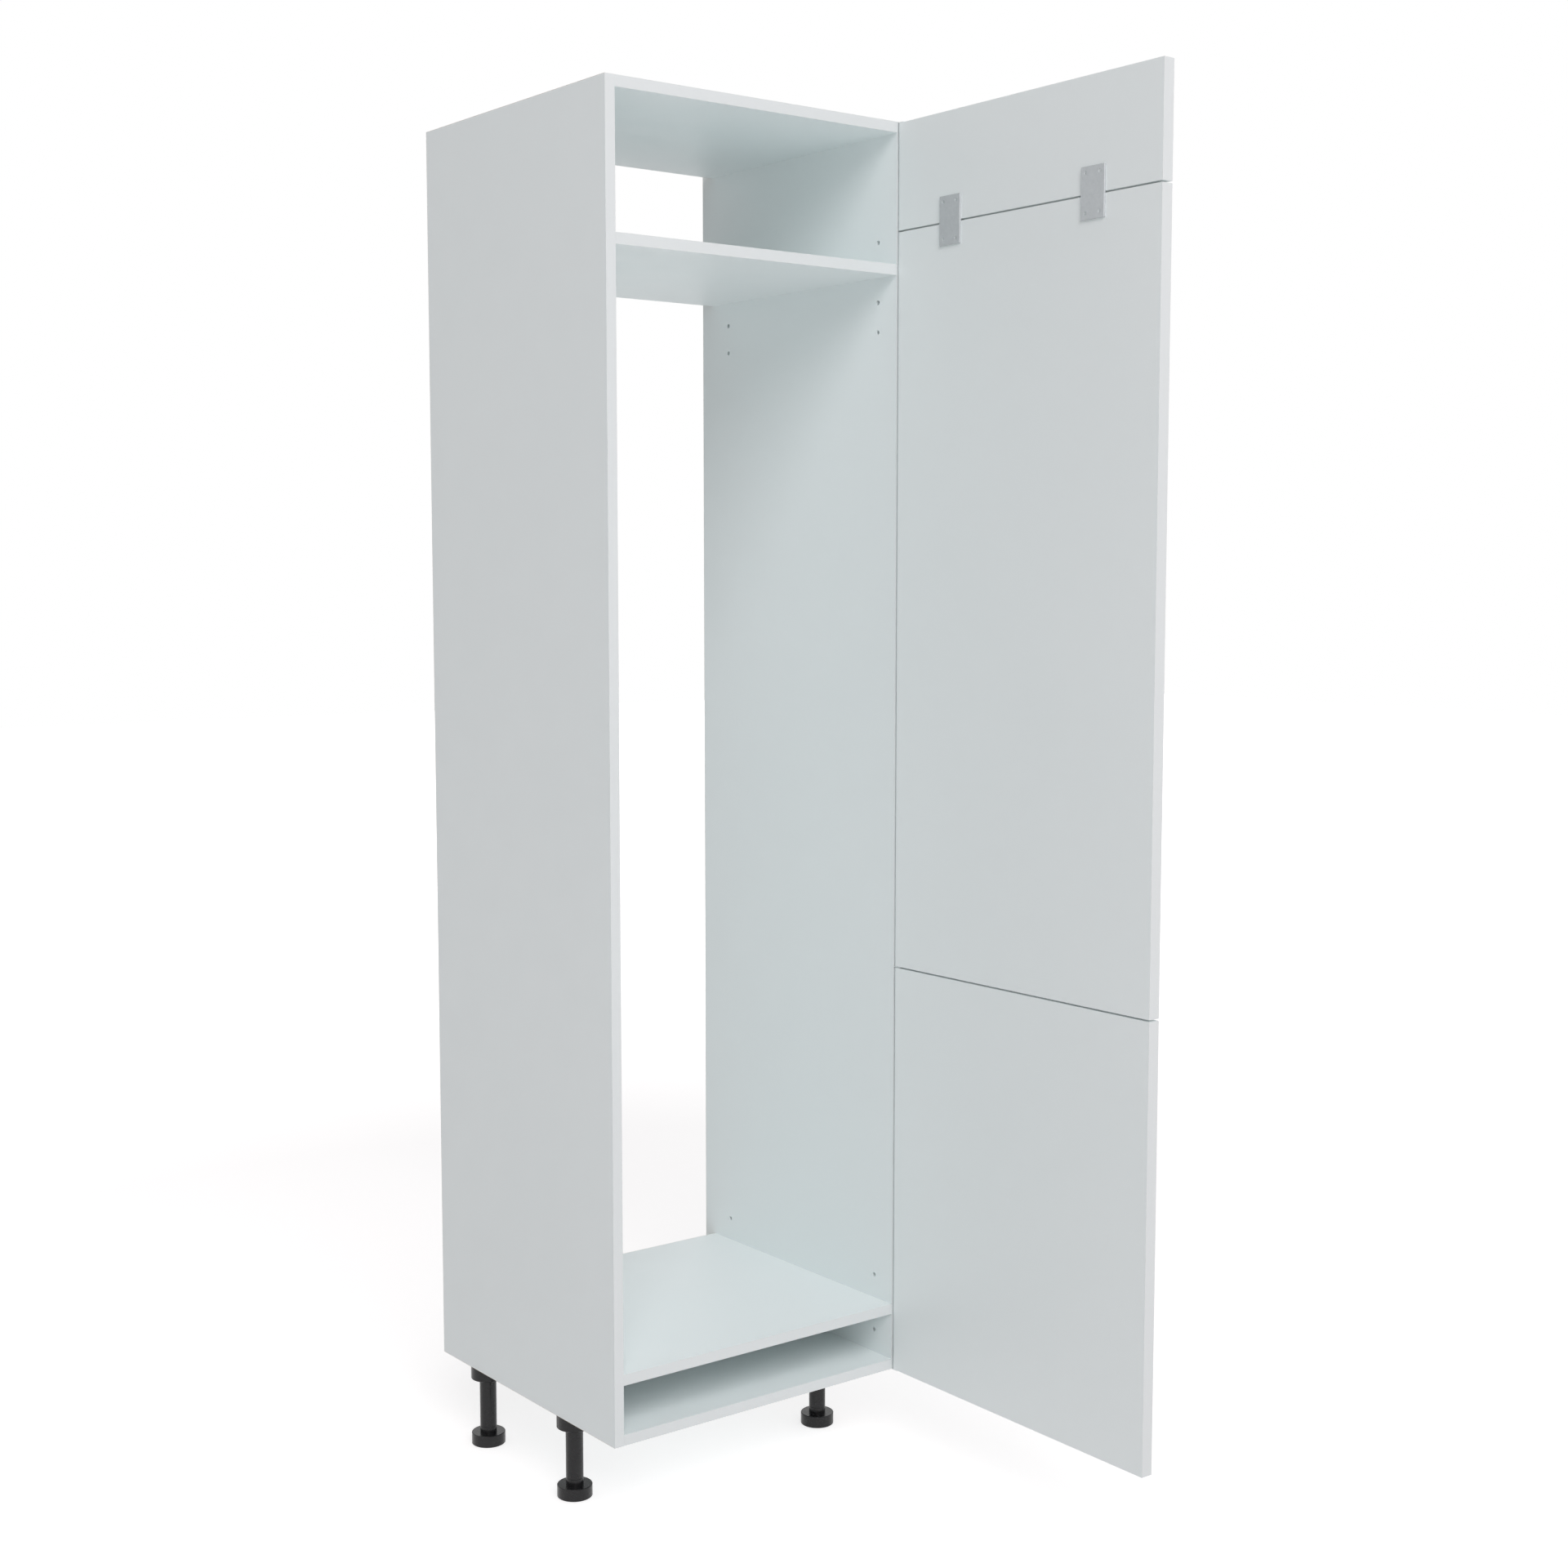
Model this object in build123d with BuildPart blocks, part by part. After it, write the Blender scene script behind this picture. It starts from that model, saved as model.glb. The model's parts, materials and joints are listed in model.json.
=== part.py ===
# Fridge housing unit: a tall kitchen carcass for a built-in fridge-freezer.
# Millimetres, +Z up. The doors stand open at a right angle. The origin is on the floor,
# under the middle of the whole outline, open doors included.

import os
from math import cos, pi

from build123d import *

# Carcass boards
carcass_width = 600
carcass_depth = 560
carcass_height = 2150
board = 18
band = 1
rear_setback = 30
niche_floor = 117.5
top_compartment_height = 216.5

# Rows of 8 mm holes in the side panels
hole_radius = 4
hole_depth = 12
hole_front = 48.5
hole_rear_inset = 80.5
hole_pitch = 50
hole_steps_low = (-1, 0, 1)
hole_steps_high = (-2, -1, 0, 1)

# Cam connectors: a steel bolt in the side panel and a cam in the board it holds
joint_front = 60
joint_rear_inset = 150
cam_radius = 7.5
cam_height = 12.5
cam_inset = 24
cam_key_length = 9
cam_key_width = 1.6
cam_key_depth = 2.5
bolt_bore_radius = 4
bolt_thread_length = 11
bolt_step_radius = 3.6
bolt_step_length = 6
bolt_neck_radius = 2
bolt_neck_length = 4
bolt_head_radius = 3.2
bolt_rod_radius = 3
cam_slot_clearance = 0.4

# Dowels that place the top and base panels
dowel_radius = 4
dowel_length = 30
dowel_in_side = 10
dowel_front = 118
dowel_rear_inset = 230
dowel_end_room = 0.5
dowel_tip = 1

# Doors
door_thickness = 22
door_side_reveal = 2
door_bottom_reveal = 1
door_top_reveal = 3
door_gap = 3
lower_door_height = 716.5
top_door_height = 176.5
door_ease = 1
hinge_edge_radius = 6

# Pivot hinges
closed_gap = 2
open_gap = 1
pin_radius = 2.5
pin_reach = 12
pin_tip = 0.4
bush_radius = 4
bush_flange_radius = 5.5
bush_length = 13
bush_end_room = 1
bracket_width = 11
bracket_thickness = 1.5
bracket_height = 60
bracket_bend = 1.2
bracket_fit = 0.2
bracket_screw_first = 16
bracket_screw_pitch = 30
top_tongue_lift = 0.5
bottom_tongue_drop = 0.5

# Plates that join the middle and top doors
plate_width = 50
plate_height = 80
plate_thickness = 3
plate_corner = 1.5
plate_ease = 0.6
plate_screw_across = 30
plate_screw_up = 60
plate_hinge_inset = 134
plate_free_inset = 139.5
plate_lift = 2.5

# Pan-head screws of the leg sockets, their length taken under the head
socket_screw_radius = 1.75
socket_screw_head_radius = 3.4
socket_screw_head_height = 1.9
socket_screw_length = 16
socket_screw_hole_radius = 2.1

# Countersunk screws: those of the brackets and the smaller ones of the joining plates
screw_rim = 0.2
bracket_screw_radius = 1.75
bracket_screw_head_radius = 3
bracket_screw_length = 18
plate_screw_radius = 1.5
plate_screw_head_radius = 2.4
plate_screw_length = 14
plate_screw_sink = 0.4

# Legs
leg_height = 150
leg_side_inset = 39
leg_front = 184
leg_rear_inset = 88
socket_radius = 29.8
socket_height = 30
socket_ease = 1
socket_roof = 4
tube_radius = 14.8
tube_wall = 2.5
foot_radius = 29.8
foot_height = 21
foot_ease = 1
foot_wall = 2.5
foot_pocket = 14
foot_hub_radius = 9
foot_ribs = 6
foot_rib_width = 2
collar_radius = 14.8
collar_height = 11
collar_gap = 0.2
stem_radius = 8
stem_length = 46
stem_tip = 1
nut_length = 42
socket_screw_circle = 21.5
socket_screw_well_radius = 4.2
socket_screw_seat = 5

# Fits
running_fit = 0.05
seat_fit = 0.05
axial_fit = 0.1
overrun = 5

# Places worked out from the sizes, measured from the carcass: x from its centre line,
# y from its front edges and z from its underside
inner_half = carcass_width / 2 - board
hole_rear = carcass_depth - hole_rear_inset
joint_rear = carcass_depth - joint_rear_inset
dowel_rear = carcass_depth - dowel_rear_inset
leg_rear = carcass_depth - leg_rear_inset
board_depth = carcass_depth - rear_setback - band
top_panel_bottom = carcass_height - board
upper_shelf_bottom = top_panel_bottom - top_compartment_height - board
fridge_shelf_bottom = niche_floor - board
hole_middle_low = fridge_shelf_bottom + board / 2
hole_middle_high = upper_shelf_bottom + board / 2
door_width = carcass_width - 2 * door_side_reveal
middle_door_bottom = door_bottom_reveal + lower_door_height + door_gap
door_stack_top = carcass_height - door_top_reveal
top_door_bottom = door_stack_top - top_door_height
middle_door_height = top_door_bottom - door_gap - middle_door_bottom

# The pin stands inside the door's thickness. Closed, the door covers the carcass's front edges;
# open, its inner face is level with the side panel's inner face.
swing_sum = board - door_side_reveal
pin_from_edge = (swing_sum + closed_gap - open_gap) / 2
pin_from_face = (swing_sum - closed_gap + open_gap) / 2
pin_x = carcass_width / 2 - door_side_reveal - pin_from_edge
pin_y = -closed_gap - pin_from_face
door_inner_x = pin_x - pin_from_face
door_outer_x = door_inner_x + door_thickness
door_hinge_y = pin_y + pin_from_edge
door_free_y = door_hinge_y - door_width

# The origin lies under the middle of the outline
centre_x = (carcass_width / 2 - door_outer_x) / 2
front_y = -(carcass_depth + door_free_y) / 2
base_z = leg_height


def level(height, x=0, y=0):
    """Horizontal plane, facing up."""
    return Plane(origin=(centre_x + x, front_y + y, base_z + height))


def level_down(height, x=0, y=0):
    """Horizontal plane, facing down."""
    return Plane(origin=(centre_x + x, front_y + y, base_z + height), x_dir=(1, 0, 0), z_dir=(0, 0, -1))


def facing(direction, x, y, height):
    """Upright plane that faces along +X (1) or -X (-1)."""
    return Plane(
        origin=(centre_x + x, front_y + y, base_z + height),
        x_dir=(0, direction, 0),
        z_dir=(direction, 0, 0),
    )


def facing_front(x, y, height):
    """Upright plane that faces the front, -Y."""
    return Plane(origin=(centre_x + x, front_y + y, base_z + height), x_dir=(1, 0, 0), z_dir=(0, -1, 0))


def save(piece, name):
    """Label a finished piece and write it."""
    piece.part.label = name
    export_step(piece.part, f"parts/{name}.step")


os.makedirs("parts", exist_ok=True)

# Where each fixed board meets the sides: its underside, its cams' face and its connector columns
joint_columns = (joint_front, joint_rear)
hole_columns = (hole_front, hole_rear)
dowel_columns = (dowel_front, dowel_rear)
fixed_boards = {
    "top_panel": (top_panel_bottom, 1, joint_columns),
    "upper_shelf": (upper_shelf_bottom, 1, hole_columns),
    "fridge_shelf": (fridge_shelf_bottom, -1, hole_columns),
    "base_panel": (0, -1, joint_columns),
}
dowelled_boards = ("top_panel", "base_panel")


# Pivot brackets: thin steel angles whose tongues reach over, between and under the doors.
# Each has its tongue's underside and the way its flange runs, down (-1) or up (1).
top_tongue = door_stack_top + top_tongue_lift
centre_tongue = middle_door_bottom - (door_gap + bracket_thickness) / 2
bottom_tongue = door_bottom_reveal - bottom_tongue_drop - bracket_thickness
brackets = {
    "top_pivot_bracket": (top_tongue, -1),
    "centre_pivot_bracket": (centre_tongue, -1),
    "bottom_pivot_bracket": (bottom_tongue, 1),
}


def flange_span(tongue, way):
    """Lowest and highest point of a bracket's flange."""
    if way < 0:
        return tongue + bracket_thickness - bracket_height, tongue + bracket_thickness
    return tongue, tongue + bracket_height


def flange_recess(tongue, way):
    """Height span of the recess for a flange, open at the carcass's end where the tongue is."""
    low, high = flange_span(tongue, way)
    low = low - bracket_fit
    high = high + bracket_fit
    if high > carcass_height - bracket_thickness:
        high = carcass_height + overrun
    if low < 0:
        low = -overrun
    return low, high


def bracket_screw_heights(tongue, way):
    """Heights of the two screws of a flange."""
    low, high = flange_span(tongue, way)
    first = high - bracket_screw_first if way < 0 else low + bracket_screw_first
    return first, first + way * bracket_screw_pitch


# Space of the three flanges, cut from the right side panel and its band
with BuildPart() as flange_seats:
    for tongue, way in brackets.values():
        low, high = flange_recess(tongue, way)
        with BuildSketch(facing_front(pin_x, bracket_thickness, (low + high) / 2)):
            Rectangle(bracket_width + 2 * bracket_fit, high - low)
        extrude(amount=bracket_thickness + overrun)


def flat_screw(radius, head_radius, length):
    """A countersunk screw along -Z, its flat head at the origin."""
    cone_end = screw_rim + head_radius - radius
    with BuildPart() as one:
        with BuildSketch(Plane.XZ):
            with BuildLine():
                Polyline(
                    (0, 0),
                    (head_radius, 0),
                    (head_radius, -screw_rim),
                    (radius, -cone_end),
                    (radius, -length),
                    (0, -length),
                    close=True,
                )
            make_face()
        revolve(axis=Axis.Z)
    return one.part


# Side panels
def make_side(side):
    """A side panel, left (-1) or right (1), with the holes of its inner face."""
    inner_x = side * inner_half
    rows = [hole_middle_low + step * hole_pitch for step in hole_steps_low]
    rows += [hole_middle_high + step * hole_pitch for step in hole_steps_high]
    holes = [(y, z) for y in hole_columns for z in rows]
    holes += [(y, z + board / 2) for y in joint_columns for z in (0, top_panel_bottom)]
    dowels = [(y, z + board / 2) for y in dowel_columns for z in (0, top_panel_bottom)]
    with BuildPart() as panel:
        with BuildSketch(level(0, side * (carcass_width - board) / 2, (carcass_depth + band) / 2)):
            Rectangle(board, carcass_depth - band)
        extrude(amount=carcass_height)
        with Locations(*[facing(-side, inner_x, y, z) for y, z in holes]):
            Hole(hole_radius, hole_depth)
        with Locations(*[facing(-side, inner_x, y, z) for y, z in dowels]):
            Hole(dowel_radius + seat_fit, dowel_in_side + dowel_end_room)
        if side > 0:
            add(flange_seats.part, mode=Mode.SUBTRACT)
            with Locations(
                *[
                    facing_front(pin_x, bracket_thickness, z)
                    for bracket in brackets.values()
                    for z in bracket_screw_heights(*bracket)
                ]
            ):
                Hole(bracket_screw_radius, bracket_screw_length - bracket_thickness)
    return panel


def make_side_band(side):
    """The edge band on a side panel's front edge."""
    with BuildPart() as strip:
        with BuildSketch(level(0, side * (carcass_width - board) / 2, band / 2)):
            Rectangle(board, band)
        extrude(amount=carcass_height)
        if side > 0:
            add(flange_seats.part, mode=Mode.SUBTRACT)
    return strip


for side, side_name in ((-1, "left"), (1, "right")):
    save(make_side(side), f"side_panel_{side_name}")
    save(make_side_band(side), f"side_band_{side_name}")


# Legs' places under the carcass
leg_x = carcass_width / 2 - leg_side_inset
legs = {
    "front_left": (-leg_x, leg_front),
    "front_right": (leg_x, leg_front),
    "rear_left": (-leg_x, leg_rear),
    "rear_right": (leg_x, leg_rear),
}
socket_screw_reach = socket_screw_circle * cos(pi / 4)
socket_screw_places = [
    (x + dx * socket_screw_reach, y + dy * socket_screw_reach)
    for x, y in legs.values()
    for dx in (-1, 1)
    for dy in (-1, 1)
]


# Boards between the sides
def make_board(bottom, cam_face, columns, dowelled, on_legs):
    """A board with its cam pockets, the bolts' bores and, where it has them, dowel bores."""
    with BuildPart() as piece:
        with BuildSketch(level(bottom, 0, band + board_depth / 2)):
            Rectangle(2 * inner_half, board_depth)
        extrude(amount=board)
        cam_height_from_base = bottom + board if cam_face > 0 else bottom
        pocket_plane = level if cam_face > 0 else level_down
        with Locations(
            *[
                pocket_plane(cam_height_from_base, side * (inner_half - cam_inset), y)
                for side in (-1, 1)
                for y in columns
            ]
        ):
            Hole(cam_radius, cam_height)
        with Locations(
            *[facing(side, side * inner_half, y, bottom + board / 2) for side in (-1, 1) for y in columns]
        ):
            Hole(bolt_bore_radius, cam_inset)
        if dowelled:
            with Locations(
                *[
                    facing(side, side * inner_half, y, bottom + board / 2)
                    for side in (-1, 1)
                    for y in dowel_columns
                ]
            ):
                Hole(dowel_radius + seat_fit, dowel_length - dowel_in_side + dowel_end_room)
        if on_legs:
            with Locations(*[level_down(bottom, x, y) for x, y in socket_screw_places]):
                Hole(socket_screw_radius, socket_screw_length - socket_screw_seat)
    return piece


for board_name, (bottom, cam_face, columns) in fixed_boards.items():
    dowelled = board_name in dowelled_boards
    save(make_board(bottom, cam_face, columns, dowelled, board_name == "base_panel"), board_name)

with BuildPart() as board_bands:
    for bottom, _, _ in fixed_boards.values():
        with BuildSketch(level(bottom, 0, band / 2)):
            Rectangle(2 * inner_half, band)
        extrude(amount=board)
save(board_bands, "board_bands")


# Cam bolts: threaded into the side, then a stepped rod, a neck and a head inside the cam
with BuildPart() as cam_bolt:
    with BuildSketch(Plane.XZ):
        with BuildLine():
            Polyline(
                (0, -bolt_thread_length),
                (hole_radius - seat_fit, -bolt_thread_length),
                (hole_radius - seat_fit, 0),
                (bolt_step_radius, 0),
                (bolt_step_radius, bolt_step_length),
                (bolt_rod_radius, bolt_step_length),
                (bolt_rod_radius, cam_inset - bolt_head_radius - bolt_neck_length),
                (bolt_neck_radius, cam_inset - bolt_head_radius - bolt_neck_length),
                (bolt_neck_radius, cam_inset - bolt_head_radius),
                (bolt_head_radius, cam_inset - bolt_head_radius),
                (bolt_head_radius, cam_inset + bolt_head_radius / 2),
                (0, cam_inset + bolt_head_radius / 2),
                close=True,
            )
        make_face()
    revolve(axis=Axis.Z)

# Cam: a disc with a key slot in its face and a side slot that takes the bolt's head
cam_slot_half = bolt_head_radius + cam_slot_clearance
with BuildPart() as cam:
    with BuildSketch(Plane.XY):
        Circle(cam_radius - seat_fit)
    extrude(amount=-cam_height)
    with BuildSketch(Plane.XY.offset(-board / 2)):
        with Locations((cam_radius / 2, 0)):
            Rectangle(cam_radius + 2 * cam_slot_half, 2 * cam_slot_half)
    extrude(amount=cam_slot_half, both=True, mode=Mode.SUBTRACT)
    with BuildSketch(Plane.XY):
        Rectangle(cam_key_length, cam_key_width)
        Rectangle(cam_key_width, cam_key_length)
    extrude(amount=-cam_key_depth, mode=Mode.SUBTRACT)

for board_name, (bottom, cam_face, columns) in fixed_boards.items():
    middle = bottom + board / 2
    with BuildPart() as bolts:
        with Locations(
            *[facing(-side, side * inner_half, y, middle) for side in (-1, 1) for y in columns]
        ):
            add(cam_bolt.part)
    save(bolts, f"{board_name}_cam_bolts")
    face_height = bottom + board if cam_face > 0 else bottom
    with BuildPart() as cams:
        with Locations(
            *[
                Plane(
                    origin=level(face_height, side * (inner_half - cam_inset), y).origin,
                    x_dir=(side, 0, 0),
                    z_dir=(0, 0, cam_face),
                )
                for side in (-1, 1)
                for y in columns
            ]
        ):
            add(cam.part)
    save(cams, f"{board_name}_cams")

# Dowels, half in the side panels and half in the board
with BuildPart() as dowel:
    with BuildSketch(Plane.XY.offset(-dowel_in_side)):
        Circle(dowel_radius)
    extrude(amount=dowel_length)
    chamfer(dowel.edges().filter_by(GeomType.CIRCLE), dowel_tip)

for board_name in dowelled_boards:
    middle = fixed_boards[board_name][0] + board / 2
    with BuildPart() as dowels:
        with Locations(
            *[facing(-side, side * inner_half, y, middle) for side in (-1, 1) for y in dowel_columns]
        ):
            add(dowel.part)
    save(dowels, f"{board_name}_dowels")


# Leg socket: a round puck under the base, bored for the tube, with four screw wells
with BuildPart() as socket:
    with BuildSketch(Plane.XY):
        Circle(socket_radius)
    extrude(amount=-socket_height)
    chamfer(socket.faces().sort_by(Axis.Z)[0].edges(), socket_ease)
    with BuildSketch(Plane.XY.offset(-socket_height)):
        Circle(tube_radius + seat_fit)
    extrude(amount=socket_height - socket_roof, mode=Mode.SUBTRACT)
    with BuildSketch(Plane.XY.offset(-socket_height)):
        with PolarLocations(socket_screw_circle, 4, start_angle=45):
            Circle(socket_screw_well_radius)
    extrude(amount=socket_height - socket_screw_seat, mode=Mode.SUBTRACT)
    with BuildSketch(Plane.XY):
        with PolarLocations(socket_screw_circle, 4, start_angle=45):
            Circle(socket_screw_hole_radius)
    extrude(amount=-socket_screw_seat, mode=Mode.SUBTRACT)

# Leg tube: plain outside, with a threaded nut moulded into its lower end
tube_top = -socket_roof
tube_bottom = -(leg_height - foot_height - collar_height)
with BuildPart() as tube:
    with BuildSketch(Plane.XY.offset(tube_bottom)):
        Circle(tube_radius)
    extrude(amount=tube_top - tube_bottom)
    with BuildSketch(Plane.XY.offset(tube_bottom + nut_length)):
        Circle(tube_radius - tube_wall)
    extrude(amount=tube_top - tube_bottom - nut_length, mode=Mode.SUBTRACT)
    with BuildSketch(Plane.XY.offset(tube_bottom)):
        Circle(stem_radius + running_fit)
    extrude(amount=nut_length, mode=Mode.SUBTRACT)

# Foot: a disc with a ribbed hollow underneath, a collar and a threaded stem
foot_bottom = -leg_height
collar_bottom = foot_bottom + foot_height
collar_top = tube_bottom - collar_gap
with BuildPart() as foot:
    with BuildSketch(Plane.XY.offset(foot_bottom)):
        Circle(foot_radius)
    extrude(amount=foot_height)
    chamfer(foot.edges().filter_by(GeomType.CIRCLE), foot_ease)
    with BuildSketch(Plane.XY.offset(foot_bottom)):
        Circle(foot_radius - foot_wall)
        Circle(foot_hub_radius, mode=Mode.SUBTRACT)
        with PolarLocations(0, foot_ribs):
            with Locations((foot_radius / 2, 0)):
                Rectangle(foot_radius, foot_rib_width, mode=Mode.SUBTRACT)
    extrude(amount=foot_pocket, mode=Mode.SUBTRACT)
    with BuildSketch(Plane.XY.offset(collar_bottom)):
        Circle(collar_radius)
    extrude(amount=collar_top - collar_bottom)
    with BuildSketch(Plane.XY.offset(collar_top)):
        Circle(stem_radius)
    extrude(amount=stem_length)
    chamfer(foot.faces().sort_by(Axis.Z)[-1].edges(), stem_tip)

for leg_name, (x, y) in legs.items():
    for piece_name, shape in (("leg_socket", socket), ("leg_tube", tube), ("foot", foot)):
        with BuildPart() as placed:
            with Locations(level(0, x, y)):
                add(shape.part)
        save(placed, f"{piece_name}_{leg_name}")

with BuildPart() as socket_screws:
    heads = [level_down(-socket_screw_seat, x, y) for x, y in socket_screw_places]
    with BuildSketch(*heads):
        Circle(socket_screw_head_radius)
    extrude(amount=socket_screw_head_height)
    with BuildSketch(*heads):
        Circle(socket_screw_radius)
    extrude(amount=-socket_screw_length)
save(socket_screws, "socket_screws")


# Doors, modelled where they stand open
doors = {
    "door_bottom": (door_bottom_reveal, lower_door_height),
    "door_middle": (middle_door_bottom, middle_door_height),
    "door_top": (top_door_bottom, top_door_height),
}

# Bushes: name, door, height of the door edge they sit in, which way they face, tongue's gap
bushes = {
    "top_door_bush": ("door_top", door_stack_top, 1, top_tongue_lift),
    "middle_door_bush": (
        "door_middle",
        middle_door_bottom,
        -1,
        middle_door_bottom - centre_tongue - bracket_thickness,
    ),
    "lower_door_upper_bush": (
        "door_bottom",
        door_bottom_reveal + lower_door_height,
        1,
        centre_tongue - door_bottom_reveal - lower_door_height,
    ),
    "lower_door_lower_bush": ("door_bottom", door_bottom_reveal, -1, bottom_tongue_drop),
}

# Joining plates across the gap between the middle and top doors, their middle above the gap's
plate_middle = top_door_bottom - door_gap / 2 + plate_lift
plates = {
    "joining_plate_hinge_side": door_hinge_y - plate_hinge_inset,
    "joining_plate_free_side": door_free_y + plate_free_inset,
}
plate_screw_places = [
    (y + dy * plate_screw_across / 2, plate_middle + dz * plate_screw_up / 2)
    for y in plates.values()
    for dy in (-1, 1)
    for dz in (-1, 1)
]


def make_door(name, bottom, height):
    """A door leaf with rounded hinge edge, bush bores and pilot holes for the joining plates."""
    with BuildPart() as leaf:
        with BuildSketch(level(bottom, door_inner_x + door_thickness / 2, (door_hinge_y + door_free_y) / 2)):
            Rectangle(door_thickness, door_width)
        extrude(amount=height)
        hinge_edge = leaf.edges().filter_by(Axis.Z).group_by(Axis.Y)[-1].sort_by(Axis.X)[0]
        fillet(hinge_edge, hinge_edge_radius)
        outer_edges = leaf.faces().sort_by(Axis.X)[-1].edges()
        fillet(outer_edges, door_ease)
        for door, edge_height, way, _ in bushes.values():
            if door == name:
                seat = level if way > 0 else level_down
                with Locations(seat(edge_height, pin_x, pin_y)):
                    Hole(bush_radius + seat_fit, bush_length + bush_end_room)
        pilots = [(y, z) for y, z in plate_screw_places if bottom < z < bottom + height]
        if pilots:
            with Locations(*[facing(-1, door_inner_x, y, z) for y, z in pilots]):
                Hole(plate_screw_radius, plate_screw_length + plate_screw_sink - plate_thickness)
    return leaf


for door_name, (bottom, height) in doors.items():
    save(make_door(door_name, bottom, height), door_name)

for bush_name, (_, edge_height, way, gap) in bushes.items():
    seat = level if way > 0 else level_down
    with BuildPart() as bush:
        with BuildSketch(seat(edge_height, pin_x, pin_y)):
            Circle(bush_radius)
        extrude(amount=-bush_length)
        with BuildSketch(seat(edge_height, pin_x, pin_y)):
            Circle(bush_flange_radius)
        extrude(amount=gap - axial_fit)
        with Locations(seat(edge_height + way * (gap - axial_fit), pin_x, pin_y)):
            Hole(pin_radius + running_fit)
    save(bush, bush_name)

for plate_name, plate_y in plates.items():
    with BuildPart() as plate:
        with BuildSketch(facing(-1, door_inner_x, plate_y, plate_middle)):
            RectangleRounded(plate_width, plate_height, plate_corner)
        extrude(amount=plate_thickness)
        chamfer(plate.faces().sort_by(Axis.X)[0].edges(), plate_ease)
        with Locations(facing(-1, door_inner_x - plate_thickness, plate_y, plate_middle)):
            with GridLocations(plate_screw_across, plate_screw_up, 2, 2):
                CounterSinkHole(
                    plate_screw_radius + seat_fit,
                    plate_screw_head_radius + seat_fit + screw_rim + plate_screw_sink,
                    plate_thickness,
                    counter_sink_angle=90,
                )
    save(plate, plate_name)

screw_face_x = door_inner_x - plate_thickness + plate_screw_sink
with BuildPart() as joining_screws:
    with Locations(*[facing(-1, screw_face_x, y, z) for y, z in plate_screw_places]):
        add(flat_screw(plate_screw_radius, plate_screw_head_radius, plate_screw_length))
save(joining_screws, "joining_screws")


# Pivot brackets, their screws and their pins
def make_bracket(tongue, way):
    """A steel angle: a flange let into the side panel's front edge and a rounded tongue."""
    low, high = flange_span(tongue, way)
    with BuildPart() as angle:
        with BuildSketch(facing_front(pin_x, bracket_thickness, (low + high) / 2)):
            Rectangle(bracket_width, high - low)
        extrude(amount=bracket_thickness)
        with BuildSketch(level(tongue)):
            with Locations((pin_x, (bracket_thickness + pin_y) / 2)):
                Rectangle(bracket_width, bracket_thickness - pin_y)
            with Locations((pin_x, pin_y)):
                Circle(bracket_width / 2)
        extrude(amount=bracket_thickness)
        bend = angle.edges().filter_by(Axis.X).group_by(Axis.Y)[-1].sort_by(Axis.Z)
        fillet(bend[-1] if way < 0 else bend[0], bracket_bend)
        with Locations(level(tongue + bracket_thickness, pin_x, pin_y)):
            Hole(pin_radius)
        with Locations(*[facing_front(pin_x, 0, z) for z in bracket_screw_heights(tongue, way)]):
            CounterSinkHole(
                bracket_screw_radius + seat_fit,
                bracket_screw_head_radius + seat_fit + screw_rim,
                bracket_thickness + overrun,
                counter_sink_angle=90,
            )
    return angle


for bracket_name, (tongue, way) in brackets.items():
    save(make_bracket(tongue, way), bracket_name)

with BuildPart() as bracket_screws:
    with Locations(
        *[
            facing_front(pin_x, 0, z)
            for bracket in brackets.values()
            for z in bracket_screw_heights(*bracket)
        ]
    ):
        add(flat_screw(bracket_screw_radius, bracket_screw_head_radius, bracket_screw_length))
save(bracket_screws, "bracket_screws")

# Each pin's lower and upper end
lower_door_top = door_bottom_reveal + lower_door_height
pins = {
    "top_pivot_pin": (door_stack_top - pin_reach, top_tongue + bracket_thickness),
    "centre_pivot_pin": (lower_door_top - pin_reach, middle_door_bottom + pin_reach),
    "bottom_pivot_pin": (bottom_tongue, door_bottom_reveal + pin_reach),
}
for pin_name, (low, high) in pins.items():
    with BuildPart() as pin:
        with BuildSketch(level(low, pin_x, pin_y)):
            Circle(pin_radius)
        extrude(amount=high - low)
        chamfer(pin.edges().filter_by(GeomType.CIRCLE), pin_tip)
    save(pin, pin_name)
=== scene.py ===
"""Looks of the fridge housing unit: white laminate, black legs and zinc fittings in soft light.

Metres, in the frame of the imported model. Its nodes keep their place and shape; they get
materials and fine edge bevels, and the screws are made again with recesses and threads.
"""

import json
import math

import bmesh
import bpy
from mathutils import Matrix, Vector

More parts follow.
